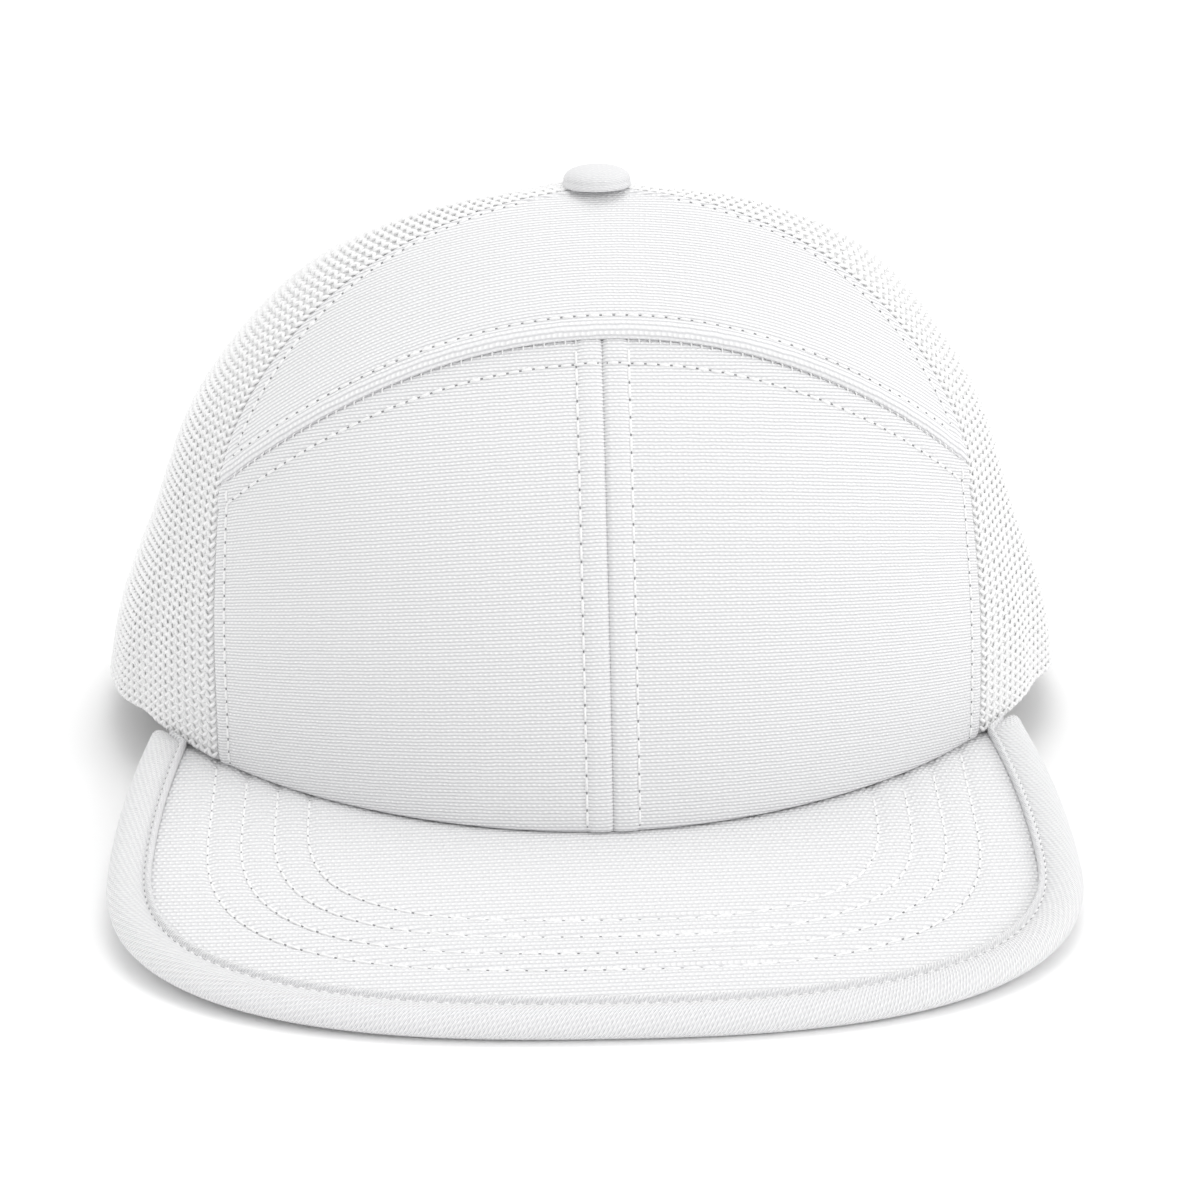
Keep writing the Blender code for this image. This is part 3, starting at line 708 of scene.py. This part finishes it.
def knit_loops(name, side, limits, from_low, finish):
    """The mesh panel's raised loops: slanting legs in upright columns that follow the seam."""
    ways = np.linspace(0, crown_end_share, 420)
    low, high = limits(ways)
    if not from_low:
        low, high = high * 0 + 180.0, low
    share = np.linspace(0, 1, 260)
    azimuths = low[:, None] * (1 - share) + high[:, None] * share
    surface = crown_point(np.radians(azimuths), ways[:, None])
    reach = run_along(surface, 1)
    columns = int(reach[:, -1].max() / loop_width)
    across = np.arange(columns + 1) * loop_width
    line_azimuth = np.full((columns + 1, len(ways)), np.nan)
    for j in range(len(ways)):
        line_azimuth[:, j] = np.interp(across, reach[j], azimuths[j], right=np.nan)
    step = loop_height / loop_parts
    steps = int(column_reach / step)
    wanted = np.arange(steps) * step
    table_way = np.full((columns + 1, steps), np.nan)
    table_azimuth = np.full((columns + 1, steps), np.nan)
    for k in range(columns + 1):
        good = ~np.isnan(line_azimuth[k])
        last = np.argmin(good) if not good.all() else len(good)
        if last < shortest_column:
            continue
        climb = run_along(crown_point(np.radians(line_azimuth[k, :last]), ways[:last]), 0)
        table_way[k] = np.interp(wanted, climb, ways[:last], right=np.nan)
        table_azimuth[k] = np.interp(wanted, climb, line_azimuth[k, :last], right=np.nan)
    part = np.array([0.04, 0.34, 0.66, 0.96])  # a leg's four points across its column,
    rise = np.array([0, 2, 3, 5])  # up it in steps of the table,
    height = np.array([-0.36, 0.08, 0.12, -0.26]) * mm  # and off the ground
    starts = np.arange(1, steps - loop_parts, loop_parts)
    every = []
    for k in range(columns):
        up = rise if k % 2 else rise[::-1]
        lift = height if k % 2 else height[::-1]
        rows = starts[:, None] + up
        ways_here = table_way[k][rows] * (1 - part) + table_way[k + 1][rows] * part
        turns_here = table_azimuth[k][rows] * (1 - part) + table_azimuth[k + 1][rows] * part
        near, far = back_limits(ways_here)
        good = ~np.isnan(ways_here).any(axis=1)
        if not from_low:
            good &= (turns_here < far - 0.4).all(axis=1)
        turns_here, ways_here = np.radians(side * turns_here[good]), ways_here[good]
        if not len(ways_here):
            continue
        out = crown_normal(turns_here, ways_here)
        jitter = 0.06 * mm * np.sin(np.arange(len(ways_here)) * 2.4 + k * 1.7)[:, None]
        lift_here = lift + jitter + valley(turns_here, ways_here)
        line = crown_point(turns_here, ways_here) + out * lift_here[..., None]
        line[..., 2] = np.maximum(line[..., 2], loop_lowest)
        every.append(line)
    add_threads(name, np.concatenate(every), loop_radius, 4, finish, name.replace("_loops", ""))


def thread_tree():
    """Gives each loose line of a mesh a round thread that thins towards its ends."""
    tree = bpy.data.node_groups.new("thread", "GeometryNodeTree")
    sockets = (
        ("Lines", "INPUT", "NodeSocketGeometry"),
        ("Thread Radius", "INPUT", "NodeSocketFloat"),
        ("Sides", "INPUT", "NodeSocketInt"),
        ("End Thinning", "INPUT", "NodeSocketFloat"),
        ("Finish", "INPUT", "NodeSocketMaterial"),
        ("Threads", "OUTPUT", "NodeSocketGeometry"),
    )
    for name, direction, kind in sockets:
        tree.interface.new_socket(name=name, in_out=direction, socket_type=kind)
    given = node(tree, "NodeGroupInput").outputs
    curve = node(tree, "GeometryNodeMeshToCurve", {"Mesh": given["Lines"]}, 0)
    along = node(tree, "GeometryNodeSplineParameter", output="Factor")
    from_middle = node(tree, "ShaderNodeMath", {0: along, 1: 2.0, 2: -1.0}, 0, operation="MULTIPLY_ADD")
    near_end = node(tree, "ShaderNodeMath", {0: from_middle, 1: 4.0}, 0, operation="POWER")
    thinning = node(tree, "ShaderNodeMath", {0: near_end, 1: given["End Thinning"]}, 0, operation="MULTIPLY")
    share = node(tree, "ShaderNodeMath", {0: 1.0, 1: thinning}, 0, operation="SUBTRACT")
    width = node(tree, "ShaderNodeMath", {0: share, 1: given["Thread Radius"]}, 0, operation="MULTIPLY")
    ring = node(tree, "GeometryNodeCurvePrimitiveCircle", {"Resolution": given["Sides"], "Radius": 1.0}, 0)
    thread = {"Curve": curve, "Profile Curve": ring, "Scale": width, "Fill Caps": True}
    solid = node(tree, "GeometryNodeCurveToMesh", thread, 0)
    soft = node(tree, "GeometryNodeSetShadeSmooth", {0: solid}, 0)
    real = node(tree, "GeometryNodeRealizeInstances", {0: soft}, 0)
    finished = node(tree, "GeometryNodeSetMaterial", {"Geometry": real, "Material": given["Finish"]}, 0)
    node(tree, "NodeGroupOutput", {"Threads": finished})
    return tree


def add_threads(name, lines, radius, sides, finish, replaces):
    """Threads along many short lines, as one plain mesh."""
    points, edges = [], []
    for line in lines:
        start = len(points)
        points.extend(line.tolist())
        edges.extend((start + i, start + i + 1) for i in range(len(line) - 1))
    piece = add_piece(name, points, [], finish, replaces, edges=edges)
    modifier = piece.modifiers.new("threads", "NODES")
    modifier.node_group = thread_group
    values = {"Thread Radius": radius, "Sides": sides, "End Thinning": 0.35, "Finish": finish}
    for item in thread_group.interface.items_tree:
        if item.name in values and item.in_out == "INPUT":
            modifier[item.identifier] = values[item.name]
    evaluated = piece.evaluated_get(bpy.context.evaluated_depsgraph_get())
    mesh = bpy.data.meshes.new_from_object(evaluated)
    piece.modifiers.clear()
    piece.data = mesh
    face_outwards(mesh)
    settle(piece, replaces)
    return piece


stitch_row_inner = (0.0545, 0.0320, 0.010)  # half width, front reach and widest line of the innermost row
stitch_row_outer = (0.0732, 0.0495, 0.005)
stitch_rows = 4
stitch_row_squareness = 3.0
stitch_row_back = 0.0602  # how far back the rows' straight sides run
stitch_row_margin = 0.012  # how far outside the rim, as a share, the rows end
peak_up = (0.0, -math.sin(peak_slope), math.cos(peak_slope))


def peak_rows():
    """Half width, front reach and widest line of each row of stitches on the peak."""
    share = np.linspace(0, 1, stitch_rows)[:, None]
    return np.array(stitch_row_inner) * (1 - share) + np.array(stitch_row_outer) * share


def row_distance(x, y, half, front, widest):
    """Distance in plan from a row of stitches on the peak."""
    n = stitch_row_squareness
    sine, cosine = math.sin(peak_turn), math.cos(peak_turn)
    a = np.abs(x * cosine - y * sine) / half
    b = np.clip((widest - (y * cosine + x * sine + front_reach)) / (widest + front), 0, None)
    level = (a**n + b**n) ** (1 / n) + 1e-9
    slope = np.hypot((a / level) ** (n - 1) / half, (b / level) ** (n - 1) / (widest + front))
    return (level - 1) / np.maximum(slope, 1e-6)


def peak_inward():
    """The direction inwards at each point of the peak's edge, in plan."""
    along = np.gradient(peak_line, axis=0)
    inward = np.stack([-along[:, 1], along[:, 0]], axis=1)
    return inward / np.linalg.norm(inward, axis=1, keepdims=True)


def visor(name, finish):
    """The peak's board in its cloth cover, quilted by four rows of stitches."""
    inward = peak_inward()
    edge = peak_line + inward * (binding_half + piece_gap)
    turns = np.linspace(0, math.pi / 2, 400)
    left, right = np.interp(peak_line[[0, -1], 1], rim_plan(turns)[1], turns)
    azimuths = np.linspace(-left, right, len(peak_line))
    normal = crown_normal(azimuths, np.zeros(len(azimuths)))[:, :2]
    normal /= np.linalg.norm(normal, axis=1, keepdims=True)
    seat = np.stack(rim_plan(azimuths), axis=1) - normal * peak_seat_depth
    share = stations(0.070, 0.85 * mm, 0.85 * mm, [])[:, None, None]
    plan = (seat * (1 - share) + edge * share)[:, ::3]
    x, y = plan[..., 0], plan[..., 1]
    lift = np.zeros_like(x)
    for half, front, widest in peak_rows():
        lift -= 0.38 * mm * np.exp(-((row_distance(x, y, half, front, widest) / (0.85 * mm)) ** 2))
    lift += unevenness(x, y, 0.15 * mm)
    rim_seam = np.linalg.norm(plan - plan[:1], axis=-1) - peak_seat_depth
    lift -= 0.3 * mm * np.exp(-np.clip(rim_seam, 0, None) / (0.8 * mm))
    lift = np.minimum(lift, 0.22 * mm)
    level = peak_middle(y)
    top = np.stack([x, y + to_middle, level + peak_board / 2 + lift], axis=-1)
    under = np.stack([x, y + to_middle, level - peak_board / 2 - lift * 0.6], axis=-1)
    uv = np.stack([x, y], axis=-1) / mm
    add_wall(name + "_cloth", top, under, uv, finish, name)
    for half, front, widest in peak_rows():
        a, power = np.linspace(-math.pi / 2, math.pi / 2, 400), 2 / stitch_row_squareness
        px = half * np.sign(a) * np.abs(np.sin(a)) ** power
        py = widest - (widest + front) * np.abs(np.cos(a)) ** power
        sides_x, sides_y = np.full(40, half), np.linspace(stitch_row_back, widest, 40)
        px = np.concatenate([-sides_x, px[1:-1], sides_x])
        py = np.concatenate([sides_y, py[1:-1], sides_y[::-1]]) - front_reach
        row = turned(np.stack([px, py], axis=1))
        px, py = row[[outside_rim(x, y) > stitch_row_margin for x, y in row]].T
        pz = peak_middle(py) + peak_board / 2 - 0.36 * mm
        points = np.stack([px, py + to_middle, pz], axis=1)
        sew(points, np.broadcast_to(peak_up, points.shape), 3.0 * mm)


binding_section = [
    # inward from the edge, height over the board's middle, both in mm
    (8.4, 1.25),
    (8.42, 1.9),
    (8.3, 2.5),
    (8.05, 2.85),
    (7.7, 2.85),
    (7.4, 2.5),
    (7.25, 2.0),
    (7.05, 1.6),
    (6.85, 1.85),
    (6.4, 2.1),
    (5.4, 2.4),
    (4.0, 2.55),
    (3.0, 2.5),
    (2.1, 2.25),
    (1.3, 1.8),
    (0.6, 1.2),
    (0.15, 0.6),
    (0.0, 0.0),
    (0.15, -0.6),
    (0.6, -1.2),
    (1.3, -1.8),
    (2.1, -2.2),
    (3.0, -2.3),
    (5.5, -2.3),
    (7.6, -2.3),
    (8.3, -2.0),
    (8.4, -1.25),
    (5.0, -1.25),
    (2.6, -1.25),
    (2.35, -0.6),
    (2.3, 0.0),
    (2.35, 0.6),
    (2.6, 1.25),
    (5.0, 1.25),
]
binding_groove = 7  # the section's point between its ridge and its wide part


def visor_binding(name, finish):
    """The padded binding folded over the peak's edge, with a cord-like ridge along its inner side."""
    inward = peak_inward()
    room = []
    for point, way_in in zip(peak_line, inward):
        near, far = 0.0, binding_width + peak_length
        for _ in range(24):
            middle = (near + far) / 2
            near, far = (middle, far) if outside_rim(*(point + way_in * middle)) > 0 else (near, middle)
        room.append(near)
    width = np.minimum(binding_width, np.array(room) - 2 * piece_gap)
    section = np.array(binding_section) * mm
    scale = (width / binding_width)[:, None]
    wanted = section[:, 0]
    depth = np.maximum(width[:, None] + (wanted - binding_width), wanted * scale)  # narrower where there is less room
    place = peak_line[:, None] + inward[:, None] * depth[..., None]
    height = peak_middle(place[..., 1]) + section[:, 1]
    points = np.concatenate([place + (0, to_middle), height[..., None]], axis=-1)
    sides, first, last = tube_faces(*points.shape[:2])
    run = run_along(peak_line[:, None], 0)
    around = run_along(section[None], 1)
    uv = np.stack(np.broadcast_arrays(run, around), axis=-1) / mm
    add_piece(name + "_cloth", points, sides + [first, last[::-1]], finish, name, uv=uv)
    groove = points[4:-4, binding_groove]
    upright = np.broadcast_to((0.0, 0.0, 1.0), groove.shape)
    sew(groove, upright, 1.5 * mm, 0.7 * mm, raise_by=0.05 * mm, slant=0.35 * mm)


def button(name, finish):
    """The covered button: a disc under gathered cloth, with a rolled lower edge."""
    around = np.linspace(0, 2 * math.pi, 96, endpoint=False)
    normal = crown_normal(around, np.full(len(around), crown_end_share)).sum(axis=0)
    normal /= np.linalg.norm(normal)
    top = crown_point(0.0, 1.0)
    ways = np.linspace(0.8, crown_end_share, 12)[:, None]
    near = crown_point(around, ways).reshape(-1, 3) - top
    height = near @ normal
    beside = np.linalg.norm(near - np.outer(height, normal), axis=1)
    seat = max(height[beside < button_radius * 1.1].max(), 0.0) + piece_gap
    profile = [
        (0.10, 0.02), (0.60, 0.0), (0.86, -0.05), (0.95, -0.11), (1.0, -0.05), (1.0, 0.1), (0.985, 0.2), (0.965, 0.28),
        (0.975, 0.36), (0.95, 0.50), (0.88, 0.66), (0.78, 0.79), (0.64, 0.90), (0.46, 0.98), (0.26, 1.03), (0.08, 1.05),
    ]  # radius as a share of the button's, rise as a share of nine tenths of its height
    lean = Vector((0, 0, 1)).rotation_difference(Vector(normal)).to_matrix()
    points, uv = [], []
    for radius, rise in profile:
        r, z = radius * button_radius, rise * 0.9 * button_height
        for a in around:
            gathered = r * (1 + 0.006 * math.cos(18 * a)) if radius > 0.8 else r
            spot = lean @ Vector((gathered * math.cos(a), gathered * math.sin(a), z))
            points.append(top + normal * seat + np.array(spot))
            uv.append((points[-1][0] / mm, points[-1][1] / mm + rise * 4))
    sides, first, last = tube_faces(len(profile), len(around))
    add_piece(name + "_cloth", points, sides + [first[::-1], last], finish, name, uv=uv)


def band(name, start, end, depth, height, thickness, bulge, finish):
    """A band inside the rim, with rounded edges."""
    azimuths = np.linspace(start, end, 180)
    tops = np.array([way_at_height(height, a) for a in azimuths])
    share = np.array([0, 0.02, 0.06, 0.12, 0.3, 0.5, 0.7, 0.88, 0.94, 0.98, 1.0])
    way = share[:, None] * tops
    azimuth = np.broadcast_to(azimuths, way.shape)
    surface, normal = crown_point(azimuth, way), crown_normal(azimuth, way)
    normal[..., 2] *= np.minimum(share * 20, 1)[:, None]
    normal /= np.linalg.norm(normal, axis=-1, keepdims=True)
    swell = np.sin(math.pi * share)[:, None, None]
    middle = surface - normal * (depth + thickness / 2)
    half = thickness / 2 * np.maximum(swell**0.25, 0.45)
    outer = middle + normal * half
    inner = middle - normal * (half + bulge * swell)
    uv = np.stack([run_along(surface, 1), run_along(surface, 0)], axis=-1) / mm
    add_wall(name + "_piece", outer, inner, uv, finish, name)


front_cloth = pique()
peak_cloth = pique(
    "pique_knit_stretched", across=1.15, between=2.55, ground="#e6e6e7", line="#d8d8da", depth=0.24, second_row=0.7
)
# Painted shade: the button's copy of the knit is coloured darker all over than the front's.
button_cloth = pique("pique_knit_gathered_painted_shade", ground="#dededf", line="#d8d8da", raised="#e8e8e8", depth=0.07)
binding_cloth = binding_knit()
# Painted shade: the mesh's ground is coloured a little darker than its loops, for the shade under them.
mesh_ground = yarn("mesh_ground", "#f8f8f8", "#eeeeee")
mesh_yarn = yarn("mesh_yarn", "#fafafa", "#f2f2f2")
sewing_thread = yarn("sewing_thread", "#fbfbfb", "#eeeeee", grain=1800.0)
# Painted shade: dark grey yarn for the needle holes, standing for the shade inside them.
needle_shade = yarn("needle_hole_shade", "#929294", "#7e7e80")
band_cloth = twill()
strap_plastic = moulded_plastic()
thread_group = thread_tree()

top_panel("top_panel", front_cloth)
for side, word in ((-1, "left"), (1, "right")):
    front_panel("front_panel_" + word, side, front_cloth)
    knit_base("side_mesh_" + word, side, side_limits, mesh_ground)
    knit_loops("side_mesh_" + word + "_loops", side, side_limits, True, mesh_yarn)
    knit_base("back_mesh_" + word, side, back_limits, mesh_ground)
    knit_loops("back_mesh_" + word + "_loops", side, back_limits, False, mesh_yarn)
visor("visor", peak_cloth)
visor_binding("visor_binding", binding_cloth)
button("button", button_cloth)

arch_edge = math.radians(arch_edge_azimuth())
tab_turn = strap_tab / crown_half_width
sweatband_end = arch_edge - tab_turn - 0.003
band(
    "sweatband", -sweatband_end, sweatband_end, front_wall + piece_gap,
    sweatband_height, sweatband_wall, 0.5 * mm, band_cloth,
)
band(
    "rear_strap", arch_edge - tab_turn, 2 * math.pi - arch_edge + tab_turn, strap_depth,
    strap_height, strap_wall, 0.0, strap_plastic,
)
add_threads("topstitching", stitch_lines, 0.28 * mm, 5, sewing_thread, "front_panel_left")
add_threads("arc_seam_bars", seam_bars, 0.17 * mm, 5, sewing_thread, "top_panel")
# Painted shade: dark threads at the needle holes.
add_threads("needle_hole_shades", needle_shade_lines, 0.24 * mm, 4, needle_shade, "front_panel_left")

# Floor, light and camera
floor_mesh = bpy.data.meshes.new("floor")
floor_mesh.from_pydata([(-4, -4, 0), (4, -4, 0), (4, 4, 0), (-4, 4, 0)], [], [(0, 1, 2, 3)])
floor = bpy.data.objects.new("floor", floor_mesh)
bpy.context.scene.collection.objects.link(floor)
floor_mesh.materials.append(studio_paper())

world = bpy.data.worlds.new("studio")
bpy.context.scene.world = world
world.use_nodes = True
world.node_tree.nodes["Background"].inputs[0].default_value = (1, 1, 1, 1)
world.node_tree.nodes["Background"].inputs[1].default_value = 0.87


def area_light(name, place, aim, size, power):
    lamp = bpy.data.lights.new(name, "AREA")
    lamp.shape = "DISK"
    lamp.size = size
    lamp.energy = power
    made = bpy.data.objects.new(name, lamp)
    bpy.context.scene.collection.objects.link(made)
    made.location = place
    made.rotation_euler = (Vector(aim) - Vector(place)).to_track_quat("-Z", "Y").to_euler()


area_light("overhead", (0.1, 0.25, 1.3), (0, 0, 0.05), 0.9, 4.5)
area_light("key", (0.95, -0.7, 0.75), (0, 0, 0.05), 0.8, 4.5)
area_light("fill", (-1.3, 0.35, 0.4), (0, 0, 0.05), 0.8, 1.8)

elevation, yaw, roll = math.radians(21.4), math.radians(3.9), math.radians(0.4)
distance, focal, picture_width = 0.873, 4145.0, 1200  # metres, then pixels
target = Vector((0.0041, to_middle + 0.0055, 0.0193))
level = math.cos(elevation)
forward = Vector((math.sin(yaw) * level, math.cos(yaw) * level, -math.sin(elevation)))
right = Vector((math.cos(yaw), -math.sin(yaw), 0))
up = right.cross(forward)
right, up = math.cos(roll) * right - math.sin(roll) * up, math.sin(roll) * right + math.cos(roll) * up
lens = bpy.data.cameras.new("camera")
camera = bpy.data.objects.new("camera", lens)
bpy.context.scene.collection.objects.link(camera)
bpy.context.scene.camera = camera
lens.sensor_width = 36
lens.lens = focal / picture_width * lens.sensor_width
place = target - forward * distance
camera.matrix_world = Matrix.Translation(place) @ Matrix((right, up, -forward)).transposed().to_4x4()
bpy.context.scene.view_settings.view_transform = "Standard"
